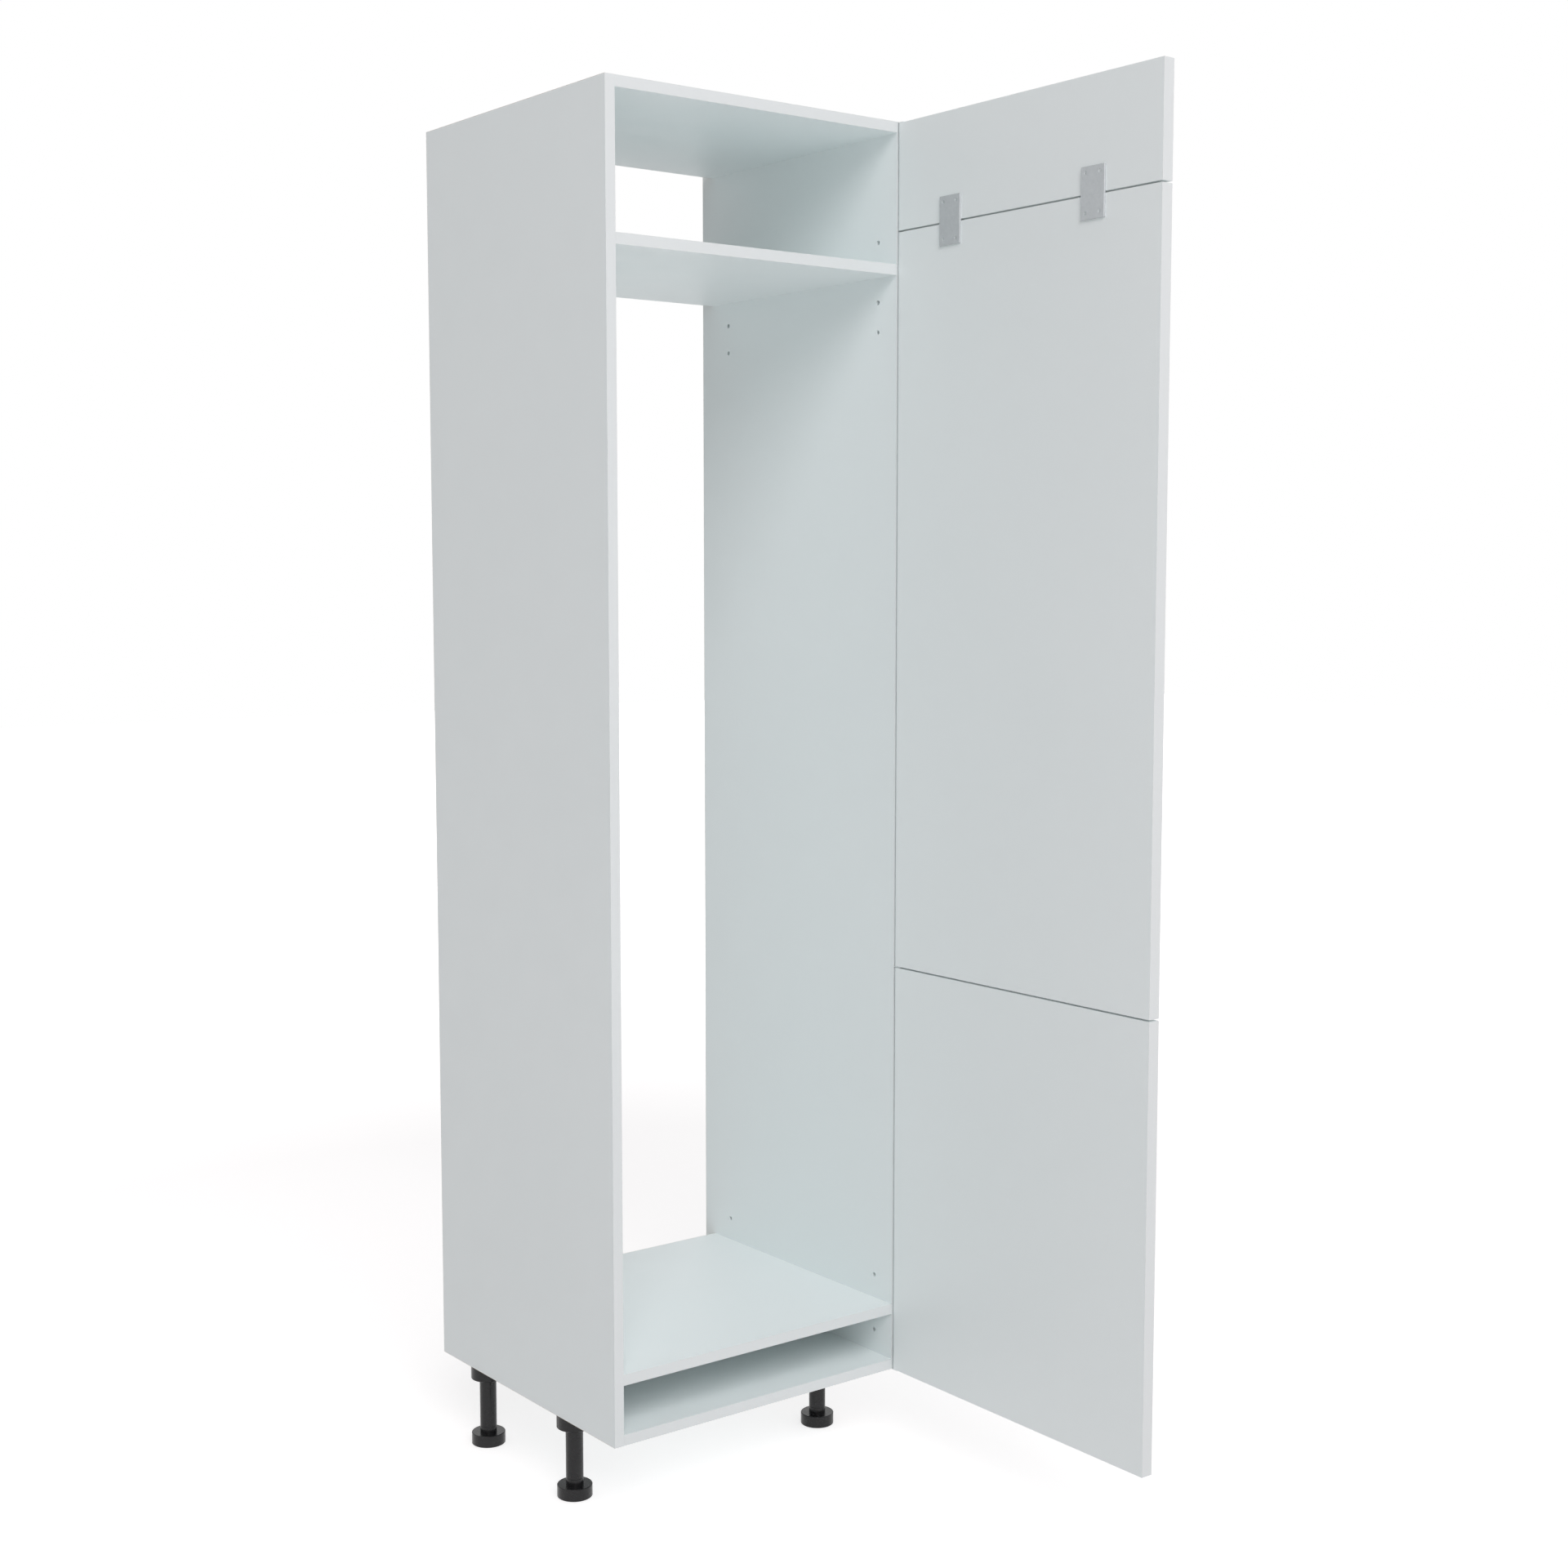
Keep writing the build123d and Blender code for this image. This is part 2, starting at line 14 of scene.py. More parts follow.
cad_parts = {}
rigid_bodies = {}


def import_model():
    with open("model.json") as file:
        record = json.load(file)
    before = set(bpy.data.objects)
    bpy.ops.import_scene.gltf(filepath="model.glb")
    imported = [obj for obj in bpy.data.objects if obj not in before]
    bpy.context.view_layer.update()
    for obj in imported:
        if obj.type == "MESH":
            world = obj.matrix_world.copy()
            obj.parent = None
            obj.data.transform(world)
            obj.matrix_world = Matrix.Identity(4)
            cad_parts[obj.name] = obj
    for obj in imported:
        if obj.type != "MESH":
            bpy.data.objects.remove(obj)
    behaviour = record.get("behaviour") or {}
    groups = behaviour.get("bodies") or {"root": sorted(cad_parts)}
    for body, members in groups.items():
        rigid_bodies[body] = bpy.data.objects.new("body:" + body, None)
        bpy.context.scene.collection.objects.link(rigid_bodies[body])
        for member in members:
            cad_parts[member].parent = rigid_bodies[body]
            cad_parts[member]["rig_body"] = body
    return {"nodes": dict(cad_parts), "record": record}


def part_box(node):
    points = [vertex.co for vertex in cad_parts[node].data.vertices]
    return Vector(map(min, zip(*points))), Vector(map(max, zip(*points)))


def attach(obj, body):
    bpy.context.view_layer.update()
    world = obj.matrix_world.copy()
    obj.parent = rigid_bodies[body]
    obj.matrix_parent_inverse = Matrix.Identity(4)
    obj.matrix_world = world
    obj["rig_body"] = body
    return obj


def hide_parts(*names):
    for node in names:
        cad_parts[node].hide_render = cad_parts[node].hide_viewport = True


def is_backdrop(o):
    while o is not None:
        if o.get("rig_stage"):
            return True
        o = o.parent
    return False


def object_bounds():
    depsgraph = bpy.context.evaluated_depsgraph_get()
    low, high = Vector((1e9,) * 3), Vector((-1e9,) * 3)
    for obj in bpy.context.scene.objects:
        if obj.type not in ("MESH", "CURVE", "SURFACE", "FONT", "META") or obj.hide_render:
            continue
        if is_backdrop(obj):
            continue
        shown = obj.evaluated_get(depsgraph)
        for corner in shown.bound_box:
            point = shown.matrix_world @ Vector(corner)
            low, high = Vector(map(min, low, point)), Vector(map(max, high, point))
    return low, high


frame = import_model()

MM = 0.001
NODES = frame["nodes"]
SLOT_OF = {part["node"]: part["material_slot"] for part in frame["record"]["subparts"]}
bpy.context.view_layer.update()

# Camera at the photograph's viewing angle
CAMERA_PLACE = (-2.150435, -2.819141, 1.536222)
CAMERA_TILT = 84.6515
CAMERA_TURN = -37.6702
LENS = 50
SENSOR = 36

# Light: an even sky, brighter towards each of these directions, and one large lamp
LIGHT_COLOUR = (1.0, 0.958, 0.968)
SKY_LEVEL = 0.102
SKY_LOBES = (
    ((0, -1, 0), 0.3),
    ((0, 1, 0), 0.205),
    ((1, 0, 0), 0.35),
    ((0, 0, 1), 0.175),
)
KEY_LEVEL = 0.55
KEY_DIRECTION = (-0.36, -0.765, 0.64)
KEY_DISTANCE = 10.0
KEY_SIZE = 6.4

# Floor: how it lights the object, then how the camera and reflections see it.
# Its glow rises to white between the two distances from the middle.
FLOOR_SIZE = 40.0
FLOOR_DROP = 0.0002
FLOOR_ALBEDO = 0.8
FLOOR_LIFT = 0.135
FLOOR_SEEN_ALBEDO = 0.6
FLOOR_GLOW = 0.66
FLOOR_FADE = (2.5, 6.0)

# Edge bevels of the carried-over nodes
BOARD_BEVEL = 0.35 * MM
METAL_BEVEL = 0.15 * MM
PLASTIC_BEVEL = 0.3 * MM
BEVEL_ANGLE = math.radians(35)
JOIN_DISTANCE = 0.001 * MM

# Most of a noise from 0 to 1 lies between these
NOISE_MIDDLE = (0.3, 0.7)

# Laminate: clouding, flecks, pearl relief and gloss; the chipboard of its sawn edges
CLOUD_SIZE = 0.45
FLECK_SHARE = 0.12
PATCH_SIZE = 0.06
GLOSS_SPREAD = 0.05
WAVE_SIZE = 0.08
WAVE_DEPTH = 0.02 * MM
CHIP_SIZE = 2.2 * MM
CHIP_FLATNESS = (1.0, 1.6, 1.6)
CHIP_SHARE = 0.55
DUST_SIZE = 0.7 * MM
PIT_DEPTH = 0.35 * MM
CUT_ROUGHNESS = 0.85

# Plastic, plated steel and beech: sizes of their clouding and stretch along their grain
PLASTIC_TONE_SIZE = 20 * MM
PLASTIC_GLOSS_SIZE = 12 * MM
CRYSTAL_SHARE = 0.25
STREAK_STRETCH = (1.0, 1.0, 0.04)
BEECH_STRETCH = (0.06, 1.0, 1.0)
BEECH_RAY_SIZE = 1.2 * MM
BEECH_RAY_DEPTH = 0.08 * MM


# Materials
class Finish:
    """A node material: adds nodes, sets their inputs by value or by link."""

    def __init__(self, name):
        self.material = bpy.data.materials.new(name)
        self.material.use_nodes = True
        self.tree = self.material.node_tree
        self.shader = self.tree.nodes["Principled BSDF"]
        self.coords = self.add("ShaderNodeTexCoord").outputs["Object"]

    def fill(self, target, inputs):
        for key, value in inputs.items():
            socket = target.inputs[key]
            if isinstance(value, bpy.types.NodeSocket):
                self.tree.links.new(value, socket)
            else:
                socket.default_value = value

    def add(self, kind, settings=None, inputs=None):
        made = self.tree.nodes.new(kind)
        for key, value in (settings or {}).items():
            setattr(made, key, value)
        self.fill(made, inputs or {})
        return made

    def surface(self, **inputs):
        self.fill(self.shader, {key.replace("_", " "): value for key, value in inputs.items()})

    def noise(self, size, detail=2.0, roughness=0.5, coords=None):
        """Noise from 0 to 1 whose features are about that size in metres."""
        made = self.add(
            "ShaderNodeTexNoise",
            inputs={
                "Vector": coords or self.coords,
                "Scale": 1 / size,
                "Detail": detail,
                "Roughness": roughness,
            },
        )
        return made.outputs["Fac"]

    def cells(self, size, coords=None):
        """A random colour for each cell of about that size."""
        made = self.add(
            "ShaderNodeTexVoronoi",
            inputs={"Vector": coords or self.coords, "Scale": 1 / size, "Randomness": 1.0},
        )
        return made.outputs["Color"]

    def stretched(self, scale):
        made = self.add("ShaderNodeMapping", inputs={"Vector": self.coords, "Scale": scale})
        return made.outputs["Vector"]

    def spread(self, value, low, high):
        """Maps the middle of a noise to the range from low to high."""
        made = self.add(
            "ShaderNodeMapRange",
            inputs={
                "Value": value,
                "From Min": NOISE_MIDDLE[0],
                "From Max": NOISE_MIDDLE[1],
                "To Min": low,
                "To Max": high,
            },
        )
        return made.outputs["Result"]

    def ramp(self, value, *stops):
        """A colour ramp through (position, colour) stops."""
        made = self.add("ShaderNodeValToRGB", inputs={"Fac": value})
        elements = made.color_ramp.elements
        while len(elements) < len(stops):
            elements.new(0.5)
        for element, (position, colour) in zip(elements, stops):
            element.position = position
            element.color = (*colour, 1.0)
        return made.outputs["Color"]

    def math(self, operation, first, second):
        made = self.add("ShaderNodeMath", {"operation": operation})
        self.fill(made, {0: first, 1: second})
        return made.outputs["Value"]

    def mix(self, share, first, second, kind="RGBA"):
        made = self.add("ShaderNodeMix", {"data_type": kind})
        sockets = {"RGBA": (6, 7, 2), "FLOAT": (2, 3, 0)}[kind]
        self.fill(made, {0: share, sockets[0]: first, sockets[1]: second})
        return made.outputs[sockets[2]]

    def bump(self, height, depth, normal=None):
        """Relief whose height runs over that depth in metres."""
        inputs = {"Height": height, "Strength": 1.0, "Distance": depth}
        if normal is not None:
            inputs["Normal"] = normal
        return self.add("ShaderNodeBump", inputs=inputs).outputs["Normal"]


def face_share(finish, planes):
    """1 on the faces that lie in these planes, 0 elsewhere."""
    split = finish.add("ShaderNodeSeparateXYZ", inputs={"Vector": finish.coords})
    total = None
    for axis, side, place in planes:
        test = "GREATER_THAN" if side > 0 else "LESS_THAN"
        here = finish.math(test, split.outputs[axis], place)
        total = here if total is None else finish.math("MAXIMUM", total, here)
    return total


def white_board(name, light, shade, gloss, grain, depth, cut_planes=(), band_painted_shade_planes=()):
    """White laminate: faint clouding, a fine pearl relief and uneven gloss; sawn edges show chips."""
    finish = Finish(name)
    cloud = finish.noise(CLOUD_SIZE, detail=3.0)
    fleck = finish.noise(3 * grain, detail=1.0)
    shift = finish.math("MULTIPLY_ADD", fleck, FLECK_SHARE)
    shift.node.inputs[2].default_value = -FLECK_SHARE / 2
    tint = finish.math("ADD", cloud, shift)
    colour = finish.ramp(tint, (0.3, shade), (0.7, light))
    # Painted shade: faces in these planes take the edge band's darker white, which stands in for less
    # light on edges that face the front lamp
    if band_painted_shade_planes:
        band_painted_shade = finish.ramp(tint, (0.3, BAND_DARK_WITH_PAINTED_SHADE), (0.7, BAND_LIGHT_WITH_PAINTED_SHADE))
        colour = finish.mix(face_share(finish, band_painted_shade_planes), colour, band_painted_shade)
    patches = finish.noise(PATCH_SIZE, detail=4.0)
    gloss_share = finish.spread(patches, gloss - GLOSS_SPREAD, gloss + GLOSS_SPREAD)
    pearl = finish.bump(finish.noise(grain, detail=1.5), depth)
    relief = finish.bump(finish.noise(WAVE_SIZE, detail=1.0), WAVE_DEPTH, pearl)
    if cut_planes:
        share = face_share(finish, cut_planes)
        chips = finish.cells(CHIP_SIZE, finish.stretched(CHIP_FLATNESS))
        dust = finish.noise(DUST_SIZE, detail=3.0)
        coarse = finish.math("MULTIPLY", chips, CHIP_SHARE)
        fine = finish.math("MULTIPLY", dust, 1 - CHIP_SHARE)
        tone = finish.math("ADD", coarse, fine)
        wood = finish.ramp(
            tone,
            (0.2, (0.20, 0.125, 0.065)),
            (0.45, (0.42, 0.30, 0.18)),
            (0.75, (0.60, 0.47, 0.31)),
        )
        pits = finish.bump(tone, PIT_DEPTH)
        colour = finish.mix(share, colour, wood)
        gloss_share = finish.mix(share, gloss_share, CUT_ROUGHNESS, "FLOAT")
        normal_mix = finish.add("ShaderNodeMix", {"data_type": "VECTOR"})
        finish.fill(normal_mix, {0: share, 4: relief, 5: pits})
        relief = normal_mix.outputs[1]
    finish.surface(Base_Color=colour, Roughness=gloss_share, Normal=relief)
    return finish.material


def plastic(name, dark, light, gloss, grain, depth, mirror=0.5):
    """Moulded plastic with a spark-eroded skin; mirror is its specular level."""
    finish = Finish(name)
    tone = finish.noise(PLASTIC_TONE_SIZE, detail=4.0)
    colour = finish.ramp(tone, (0.35, dark), (0.7, light))
    skin = finish.bump(finish.noise(grain, detail=2.0, roughness=0.6), depth)
    patches = finish.noise(PLASTIC_GLOSS_SIZE, detail=3.0)
    gloss_share = finish.spread(patches, gloss - 0.06, gloss + 0.08)
    finish.surface(Base_Color=colour, Roughness=gloss_share, Specular_IOR_Level=mirror, Normal=skin)
    return finish.material


def metal(name, dark, light, gloss, streak, depth, spangle=9 * MM, bare=1.0):
    """Zinc plating: clouded crystals under fine drawn streaks; less bare zinc is duller."""
    finish = Finish(name)
    crystals = finish.math("MULTIPLY", finish.cells(spangle), CRYSTAL_SHARE)
    cloud = finish.noise(spangle / 2, detail=5.0, roughness=0.6)
    tone = finish.math("ADD", crystals, finish.math("MULTIPLY", cloud, 1 - CRYSTAL_SHARE))
    colour = finish.ramp(tone, (0.3, dark), (0.7, light))
    lines = finish.noise(streak, detail=2.0, coords=finish.stretched(STREAK_STRETCH))
    gloss_share = finish.spread(lines, gloss - 0.07, gloss + 0.08)
    finish.surface(
        Base_Color=colour, Metallic=bare, Roughness=gloss_share, Normal=finish.bump(lines, depth)
    )
    return finish.material


def beech(name):
    """Turned beech: pale brown with darker rays along the grain."""
    finish = Finish(name)
    along = finish.stretched(BEECH_STRETCH)
    grain = finish.noise(BEECH_RAY_SIZE, detail=4.0, roughness=0.6, coords=along)
    colour = finish.ramp(grain, (0.3, (0.40, 0.25, 0.13)), (0.7, (0.66, 0.48, 0.30)))
    finish.surface(
        Base_Color=colour,
        Roughness=finish.spread(grain, 0.55, 0.75),
        Normal=finish.bump(grain, BEECH_RAY_DEPTH),
    )
    return finish.material


SIDE_LOW, SIDE_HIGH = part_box("side_panel_left")
CUT_DEPTH = 0.3 * MM
REAR_CUT = (1, 1, SIDE_HIGH.y - CUT_DEPTH)
SIDE_CUTS = (REAR_CUT, (2, 1, SIDE_HIGH.z - CUT_DEPTH), (2, -1, SIDE_LOW.z + CUT_DEPTH))
BOARD_CUTS = ((1, 1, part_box("top_panel")[1].y - CUT_DEPTH),)
# The door's free edge faces the front light and takes the edge band's darker white as painted shade
DOOR_FRONT_EDGE_PAINTED_SHADE = ((1, -1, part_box("door_middle")[0].y + CUT_DEPTH),)

CARCASS_LIGHT = (0.866, 0.938, 0.940)
CARCASS_SHADE = (0.854, 0.927, 0.930)
DOOR_LIGHT = (0.868, 0.935, 0.937)
DOOR_SHADE = (0.855, 0.924, 0.926)
# Edge bands are real parts, but their white is darker than the laminate: painted shade that holds back
# the strong front light on the front-facing edges
BAND_LIGHT_WITH_PAINTED_SHADE = (0.734, 0.780, 0.784)
BAND_DARK_WITH_PAINTED_SHADE = (0.722, 0.768, 0.772)

side_laminate = white_board(
    "side_laminate", CARCASS_LIGHT, CARCASS_SHADE, 0.5, 1.1 * MM, 0.012 * MM, SIDE_CUTS
)
board_laminate = white_board(
    "board_laminate", CARCASS_LIGHT, CARCASS_SHADE, 0.5, 1.1 * MM, 0.012 * MM, BOARD_CUTS
)
MATERIALS = {
    "carcass_laminate": board_laminate,
    # Edge band material: real band parts in a darker white that is painted shade on the front-facing
    # edges
    "edge_band": white_board("edge_band", BAND_LIGHT_WITH_PAINTED_SHADE, BAND_DARK_WITH_PAINTED_SHADE, 0.4, 0.8 * MM, 0.006 * MM),
    "door_laminate": white_board(
        "door_laminate", DOOR_LIGHT, DOOR_SHADE, 0.42, 1.4 * MM, 0.008 * MM, band_painted_shade_planes=DOOR_FRONT_EDGE_PAINTED_SHADE
    ),
    "leg_plastic": plastic(
        "leg_plastic", (0.006, 0.006, 0.007), (0.010, 0.010, 0.011), 0.24, 0.35 * MM, 0.006 * MM, 0.4
    ),
    "bush_plastic": plastic(
        "bush_plastic", (0.70, 0.71, 0.70), (0.78, 0.79, 0.78), 0.38, 0.3 * MM, 0.006 * MM
    ),
    "plate_steel": metal(
        "plate_steel", (0.52, 0.555, 0.57), (0.57, 0.605, 0.62), 0.55, 0.5 * MM, 0.008 * MM, bare=0.4
    ),
    "hinge_steel": metal(
        "hinge_steel", (0.74, 0.78, 0.785), (0.81, 0.85, 0.855), 0.5, 0.4 * MM, 0.006 * MM, bare=0.3
    ),
    "screw_steel": metal(
        "screw_steel", (0.60, 0.62, 0.63), (0.74, 0.76, 0.77), 0.28, 0.3 * MM, 0.003 * MM, 3 * MM
    ),
    "zinc_fitting": metal(
        "zinc_fitting", (0.36, 0.37, 0.375), (0.50, 0.51, 0.515), 0.5, 0.6 * MM, 0.02 * MM, 4 * MM
    ),
    "dowel_beech": beech("dowel_beech"),
}
BEVELS = {
    "carcass_laminate": BOARD_BEVEL,
    "edge_band": BOARD_BEVEL,
    "door_laminate": BOARD_BEVEL,
    "leg_plastic": PLASTIC_BEVEL,
    "bush_plastic": METAL_BEVEL,
    "plate_steel": METAL_BEVEL,
    "hinge_steel": METAL_BEVEL,
    "zinc_fitting": METAL_BEVEL,
}


def dress(obj, material):
    obj.data.materials.clear()
    obj.data.materials.append(material)


def soften(obj, width):
    """Joins the faces at their edges, rounds the edges slightly and evens the normals."""
    weld = obj.modifiers.new("weld", "WELD")
    weld.merge_threshold = JOIN_DISTANCE
    bevel = obj.modifiers.new("bevel", "BEVEL")
    bevel.width = width
    bevel.segments = 2
    bevel.limit_method = "ANGLE"
    bevel.angle_limit = BEVEL_ANGLE
    bevel.miter_outer = "MITER_ARC"
    normals = obj.modifiers.new("normals", "WEIGHTED_NORMAL")
    normals.weight = 50
    normals.keep_sharp = False


for name, obj in NODES.items():
    slot = SLOT_OF[name]
    dress(obj, side_laminate if name.startswith("side_panel") else MATERIALS[slot])
    if slot in BEVELS:
        soften(obj, BEVELS[slot])


# Screws with cross recesses and threads, in place of the plain ones
def solids_of(obj):
    """Lowest and highest corner of each separate solid in a node."""
    work = bmesh.new()
    work.from_mesh(obj.data)
    bmesh.ops.remove_doubles(work, verts=work.verts, dist=JOIN_DISTANCE)
    left, found = set(work.verts), []
    while left:
        group, edge = set(), [left.pop()]
        while edge:
            vert = edge.pop()
            group.add(vert)
            for link in vert.link_edges:
                other = link.other_vert(vert)
                if other in left:
                    left.remove(other)
                    edge.append(other)
        points = [vert.co for vert in group]
        low = Vector([min(p[i] for p in points) for i in range(3)])
        high = Vector([max(p[i] for p in points) for i in range(3)])
        found.append((low, high))
    work.free()
    return sorted(found, key=lambda box: tuple(round(v, 5) for v in box[0]))


# Threads: the root is a share of the crest's radius, the flank a share of the pitch
THREAD_PITCH = 1.3 * MM
THREAD_ROOT = 0.68
THREAD_FLANK = 0.32
SCREW_SIDES = 20
ROWS_PER_PITCH = 5
POINT_LENGTH = 3.0 * MM
POINT_FLAT = POINT_LENGTH / 6
SCREW_SHARP_ANGLE = math.radians(40)
FIRST_TURN = 23
NEXT_TURN = 67

# Recesses: half length, half width and depth; their floor as shares of the first two
RECESS_FLOOR = (0.55, 0.7)
JOINING_RECESS = (1.35 * MM, 0.32 * MM, 1.0 * MM)
BRACKET_RECESS = (1.8 * MM, 0.4 * MM, 1.2 * MM)
SOCKET_RECESS = (1.7 * MM, 0.4 * MM, 1.1 * MM)

# Heads: shares of the head's radius, and for the pan head also of its height
FLAT_SHANK = 0.56
FLAT_RIM = 0.2 * MM
FLAT_RIM_INSET = 0.985
PAN_SHANK = 0.51
PAN_SEAT = 0.97
PAN_RIM = 0.12
PAN_FLAT = 0.25
PAN_TURN = math.radians(72)
PAN_STEPS = 5
SOCKET_HEAD_HEIGHT = 1.9 * MM


def ring(work, radius, height):
    """A closed loop of vertices; radius may be a function of the angle."""
    verts = []
    for step in range(SCREW_SIDES):
        angle = 2 * math.pi * step / SCREW_SIDES
        size = radius(angle) if callable(radius) else radius
        verts.append(work.verts.new((size * math.cos(angle), size * math.sin(angle), height)))
    return verts


def bridge(work, lower, upper):
    count = len(lower)
    for i in range(count):
        j = (i + 1) % count
        work.faces.new((lower[i], lower[j], upper[j], upper[i]))


def loop_edges(work, loop):
    return [work.edges.get((loop[i], loop[(i + 1) % len(loop)])) for i in range(len(loop))]


def cross_outline(work, half_length, half_width, height):
    """The twelve corners of a plus sign."""
    verts = []
    for quarter in range(4):
        turn = Matrix.Rotation(quarter * math.pi / 2, 4, "Z")
        for x, y in ((half_length, -half_width), (half_length, half_width), (half_width, half_width)):
            verts.append(work.verts.new(turn @ Vector((x, y, height))))
    return verts


def screw(shank, head_profile, length, recess):
    """A threaded screw along -Z, its seat at the origin; head_profile runs from the seat to the top."""
    work = bmesh.new()
    rows = int((length - 2 * POINT_FLAT) / THREAD_PITCH * ROWS_PER_PITCH)
    previous = None
    for row in range(rows + 1):
        height = -length + POINT_FLAT + row * (length - POINT_FLAT) / rows
        taper = min(1.0, (height + length) / POINT_LENGTH)
        fade = min(1.0, -height / THREAD_PITCH)

        def radius(angle, height=height, taper=taper, fade=fade):
            phase = (height / THREAD_PITCH - angle / (2 * math.pi)) % 1.0
            crest = max(0.0, 1.0 - abs(phase - 0.5) / THREAD_FLANK)
            full = THREAD_ROOT + (1 - THREAD_ROOT) * (crest * fade + (1 - fade))
            return shank * full * taper

        loop = ring(work, radius, height)
        if previous is None:
            work.faces.new(tuple(reversed(loop)))
        else:
            bridge(work, previous, loop)
        previous = loop
    for size, height in head_profile:
        loop = ring(work, size, height)
        bridge(work, previous, loop)
        previous = loop
    top = head_profile[-1][1]
    reach, width, depth = recess
    mouth = cross_outline(work, reach, width, top)
    floor = cross_outline(work, reach * RECESS_FLOOR[0], width * RECESS_FLOOR[1], top - depth)
    for i in range(len(mouth)):
        j = (i + 1) % len(mouth)
        work.faces.new((floor[i], floor[j], mouth[j], mouth[i]))
    work.faces.new(floor)
    edges = loop_edges(work, previous) + loop_edges(work, mouth)
    bmesh.ops.triangle_fill(work, use_beauty=True, edges=edges)
    bmesh.ops.recalc_face_normals(work, faces=work.faces)
    return work


def place_screws(node, axis, make):
    """Puts a screw in place of each of the node's solids; its head faces along -axis."""
    made = bmesh.new()
    turn = Vector((0, 0, 1)).rotation_difference(-axis).to_matrix().to_4x4()
    for number, (low, high) in enumerate(solids_of(NODES[node])):
        middle = (low + high) / 2
        start = middle - axis * (high - low).dot(axis) / 2
        one = make()
        spin = Matrix.Rotation(math.radians(FIRST_TURN + NEXT_TURN * number), 4, "Z")
        bmesh.ops.transform(one, matrix=Matrix.Translation(start) @ turn @ spin, verts=one.verts)
        mesh = bpy.data.meshes.new("one_screw")
        one.to_mesh(mesh)
        one.free()
        made.from_mesh(mesh)
        bpy.data.meshes.remove(mesh)
    mesh = bpy.data.meshes.new(f"{node}_threaded")
    made.to_mesh(mesh)
    made.free()
    obj = bpy.data.objects.new(f"{node}_threaded", mesh)
    bpy.context.scene.collection.objects.link(obj)
    for face in mesh.polygons:
        face.use_smooth = True
    mesh.set_sharp_from_angle(angle=SCREW_SHARP_ANGLE)
    dress(obj, MATERIALS[SLOT_OF[node]])
    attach(obj, NODES[node]["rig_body"])
    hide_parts(node)


def flat_head(node, axis, recess):
    """Maker of a countersunk screw as long and wide as the node's solids, its top at the origin."""
    low, high = solids_of(NODES[node])[0]
    size = high - low
    length = size.dot(axis)
    across = sorted(size)[0] / 2
    shank = across * FLAT_SHANK
    cone = across - shank + FLAT_RIM
    edge = across * FLAT_RIM_INSET
    profile = ((shank, 0.0), (edge, cone - FLAT_RIM), (across, cone - FLAT_RIM / 2), (edge, cone))

    def make():
        work = screw(shank, profile, length - cone, recess)
        bmesh.ops.translate(work, verts=work.verts, vec=(0, 0, -cone))
        return work

    return make


def pan_head(node, axis, head_height, recess):
    """Maker of a pan-head screw as long and wide as the node's solids, its top at the origin."""
    low, high = solids_of(NODES[node])[0]
    size = high - low
    length = size.dot(axis)
    across = sorted(size)[0] / 2
    profile = [(across * PAN_SEAT, 0.0), (across, head_height * PAN_RIM)]
    for step in range(1, PAN_STEPS + 1):
        angle = PAN_TURN * step / PAN_STEPS
        width = PAN_FLAT + (1 - PAN_FLAT) * math.cos(angle)
        height = PAN_RIM + (1 - PAN_RIM) * math.sin(angle) / math.sin(PAN_TURN)
        profile.append((across * width, head_height * height))

    def make():
        work = screw(across * PAN_SHANK, profile, length - head_height, recess)
        bmesh.ops.translate(work, verts=work.verts, vec=(0, 0, -head_height))
        return work

    return make


X_AXIS = Vector((1, 0, 0))
Y_AXIS = Vector((0, 1, 0))
Z_AXIS = Vector((0, 0, 1))
place_screws("joining_screws", X_AXIS, flat_head("joining_screws", X_AXIS, JOINING_RECESS))
place_screws("bracket_screws", Y_AXIS, flat_head("bracket_screws", Y_AXIS, BRACKET_RECESS))
place_screws(
    "socket_screws", Z_AXIS, pan_head("socket_screws", Z_AXIS, SOCKET_HEAD_HEIGHT, SOCKET_RECESS)
)


# Floor, light and camera
def seen_or(tree, seen, other):
    """Chooses one shader for rays from the camera, a mirror or glass, and another for the rest."""
    path = tree.nodes.new("ShaderNodeLightPath")
    total = path.outputs["Is Camera Ray"]
    for kind in ("Is Glossy Ray", "Is Transmission Ray"):
        either = tree.nodes.new("ShaderNodeMath")
        either.operation = "MAXIMUM"
        tree.links.new(total, either.inputs[0])
        tree.links.new(path.outputs[kind], either.inputs[1])
        total = either.outputs["Value"]
    choice = tree.nodes.new("ShaderNodeMixShader")
    tree.links.new(total, choice.inputs["Fac"])
    tree.links.new(other, choice.inputs[1])
    tree.links.new(seen, choice.inputs[2])
    return choice.outputs["Shader"]


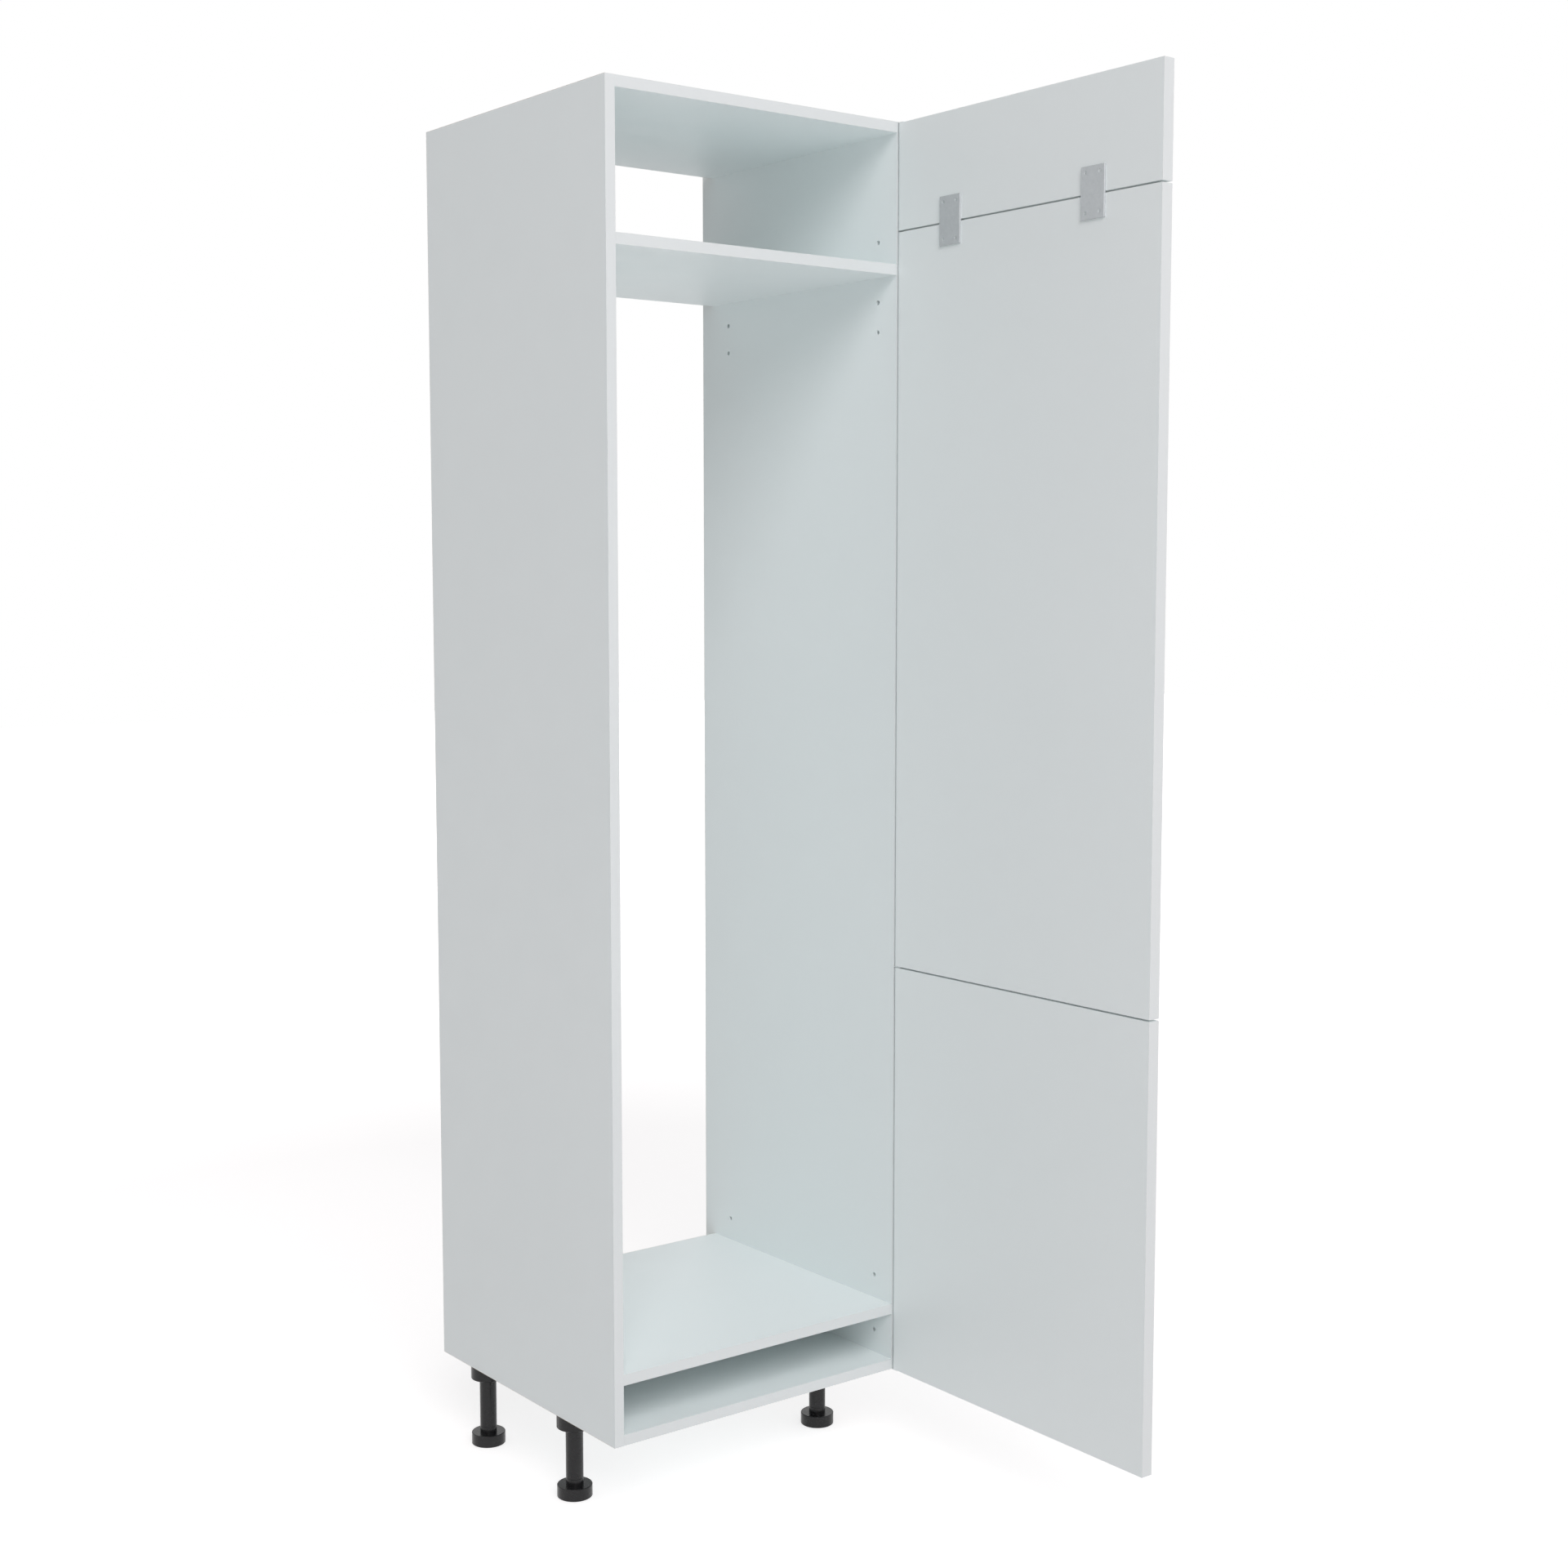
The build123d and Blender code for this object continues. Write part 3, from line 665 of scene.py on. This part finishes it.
def make_world():
    world = bpy.data.worlds.new("studio")
    world.use_nodes = True
    tree = world.node_tree
    tree.nodes.clear()
    white = tree.nodes.new("ShaderNodeBackground")
    white.inputs["Color"].default_value = (1, 1, 1, 1)
    soft = tree.nodes.new("ShaderNodeBackground")
    soft.inputs["Color"].default_value = (*LIGHT_COLOUR, 1)
    towards = tree.nodes.new("ShaderNodeTexCoord").outputs["Generated"]
    total = None
    for direction, level in SKY_LOBES:
        share = tree.nodes.new("ShaderNodeVectorMath")
        share.operation = "DOT_PRODUCT"
        share.inputs[1].default_value = direction
        tree.links.new(towards, share.inputs[0])
        half = tree.nodes.new("ShaderNodeMath")
        half.operation = "MAXIMUM"
        half.inputs[1].default_value = 0
        tree.links.new(share.outputs["Value"], half.inputs[0])
        added = tree.nodes.new("ShaderNodeMath")
        added.operation = "MULTIPLY_ADD"
        added.inputs[1].default_value = level
        added.inputs[2].default_value = SKY_LEVEL
        tree.links.new(half.outputs["Value"], added.inputs[0])
        if total is not None:
            tree.links.new(total, added.inputs[2])
        total = added.outputs["Value"]
    tree.links.new(total, soft.inputs["Strength"])
    out = tree.nodes.new("ShaderNodeOutputWorld")
    choice = seen_or(tree, white.outputs["Background"], soft.outputs["Background"])
    tree.links.new(choice, out.inputs["Surface"])
    bpy.context.scene.world = world


def make_floor():
    mesh = bpy.data.meshes.new("studio_floor")
    half = FLOOR_SIZE / 2
    corners = [(-half, -half, 0), (half, -half, 0), (half, half, 0), (-half, half, 0)]
    mesh.from_pydata(corners, [], [(0, 1, 2, 3)])
    floor = bpy.data.objects.new("studio_floor", mesh)
    floor.location.z = -FLOOR_DROP
    bpy.context.scene.collection.objects.link(floor)
    material = bpy.data.materials.new("studio_floor")
    material.use_nodes = True
    tree = material.node_tree
    tree.nodes.clear()
    pale = tree.nodes.new("ShaderNodeBsdfDiffuse")
    pale.inputs["Color"].default_value = (FLOOR_SEEN_ALBEDO,) * 3 + (1,)
    glow = tree.nodes.new("ShaderNodeEmission")
    reach = tree.nodes.new("ShaderNodeVectorMath")
    reach.operation = "LENGTH"
    place = tree.nodes.new("ShaderNodeTexCoord").outputs["Object"]
    tree.links.new(place, reach.inputs[0])
    fade = tree.nodes.new("ShaderNodeMapRange")
    fade.inputs["From Min"].default_value = FLOOR_FADE[0]
    fade.inputs["From Max"].default_value = FLOOR_FADE[1]
    fade.inputs["To Min"].default_value = FLOOR_GLOW
    fade.inputs["To Max"].default_value = 1
    tree.links.new(reach.outputs["Value"], fade.inputs["Value"])
    tree.links.new(fade.outputs["Result"], glow.inputs["Strength"])
    both = tree.nodes.new("ShaderNodeAddShader")
    tree.links.new(pale.outputs["BSDF"], both.inputs[0])
    tree.links.new(glow.outputs["Emission"], both.inputs[1])
    plain = tree.nodes.new("ShaderNodeBsdfDiffuse")
    plain.inputs["Color"].default_value = (FLOOR_ALBEDO,) * 3 + (1,)
    lift = tree.nodes.new("ShaderNodeEmission")
    lift.inputs["Color"].default_value = (*LIGHT_COLOUR, 1)
    lift.inputs["Strength"].default_value = FLOOR_LIFT
    lifted = tree.nodes.new("ShaderNodeAddShader")
    tree.links.new(plain.outputs["BSDF"], lifted.inputs[0])
    tree.links.new(lift.outputs["Emission"], lifted.inputs[1])
    out = tree.nodes.new("ShaderNodeOutputMaterial")
    choice = seen_or(tree, both.outputs["Shader"], lifted.outputs["Shader"])
    tree.links.new(choice, out.inputs["Surface"])
    dress(floor, material)
    floor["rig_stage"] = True


def make_key():
    """A large soft lamp in front of the unit, to its left and above.

    Its power lights a face turned towards it like a sky of strength KEY_LEVEL.
    """
    direction = Vector(KEY_DIRECTION).normalized()
    lamp = bpy.data.lights.new("key", "AREA")
    lamp.shape = "DISK"
    lamp.size = KEY_SIZE
    lamp.color = LIGHT_COLOUR
    lamp.energy = KEY_LEVEL * math.pi**2 * KEY_DISTANCE**2
    obj = bpy.data.objects.new("key", lamp)
    low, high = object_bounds()
    obj.location = (low + high) / 2 + direction * KEY_DISTANCE
    obj.rotation_euler = direction.to_track_quat("Z", "Y").to_euler()
    bpy.context.scene.collection.objects.link(obj)


def make_camera():
    data = bpy.data.cameras.new("photo_view")
    data.lens = LENS
    data.sensor_width = SENSOR
    camera = bpy.data.objects.new("photo_view", data)
    camera.location = CAMERA_PLACE
    camera.rotation_euler = (math.radians(CAMERA_TILT), 0, math.radians(CAMERA_TURN))
    bpy.context.scene.collection.objects.link(camera)
    bpy.context.scene.camera = camera


make_world()
make_floor()
make_key()
make_camera()
bpy.context.scene.view_settings.view_transform = "Standard"
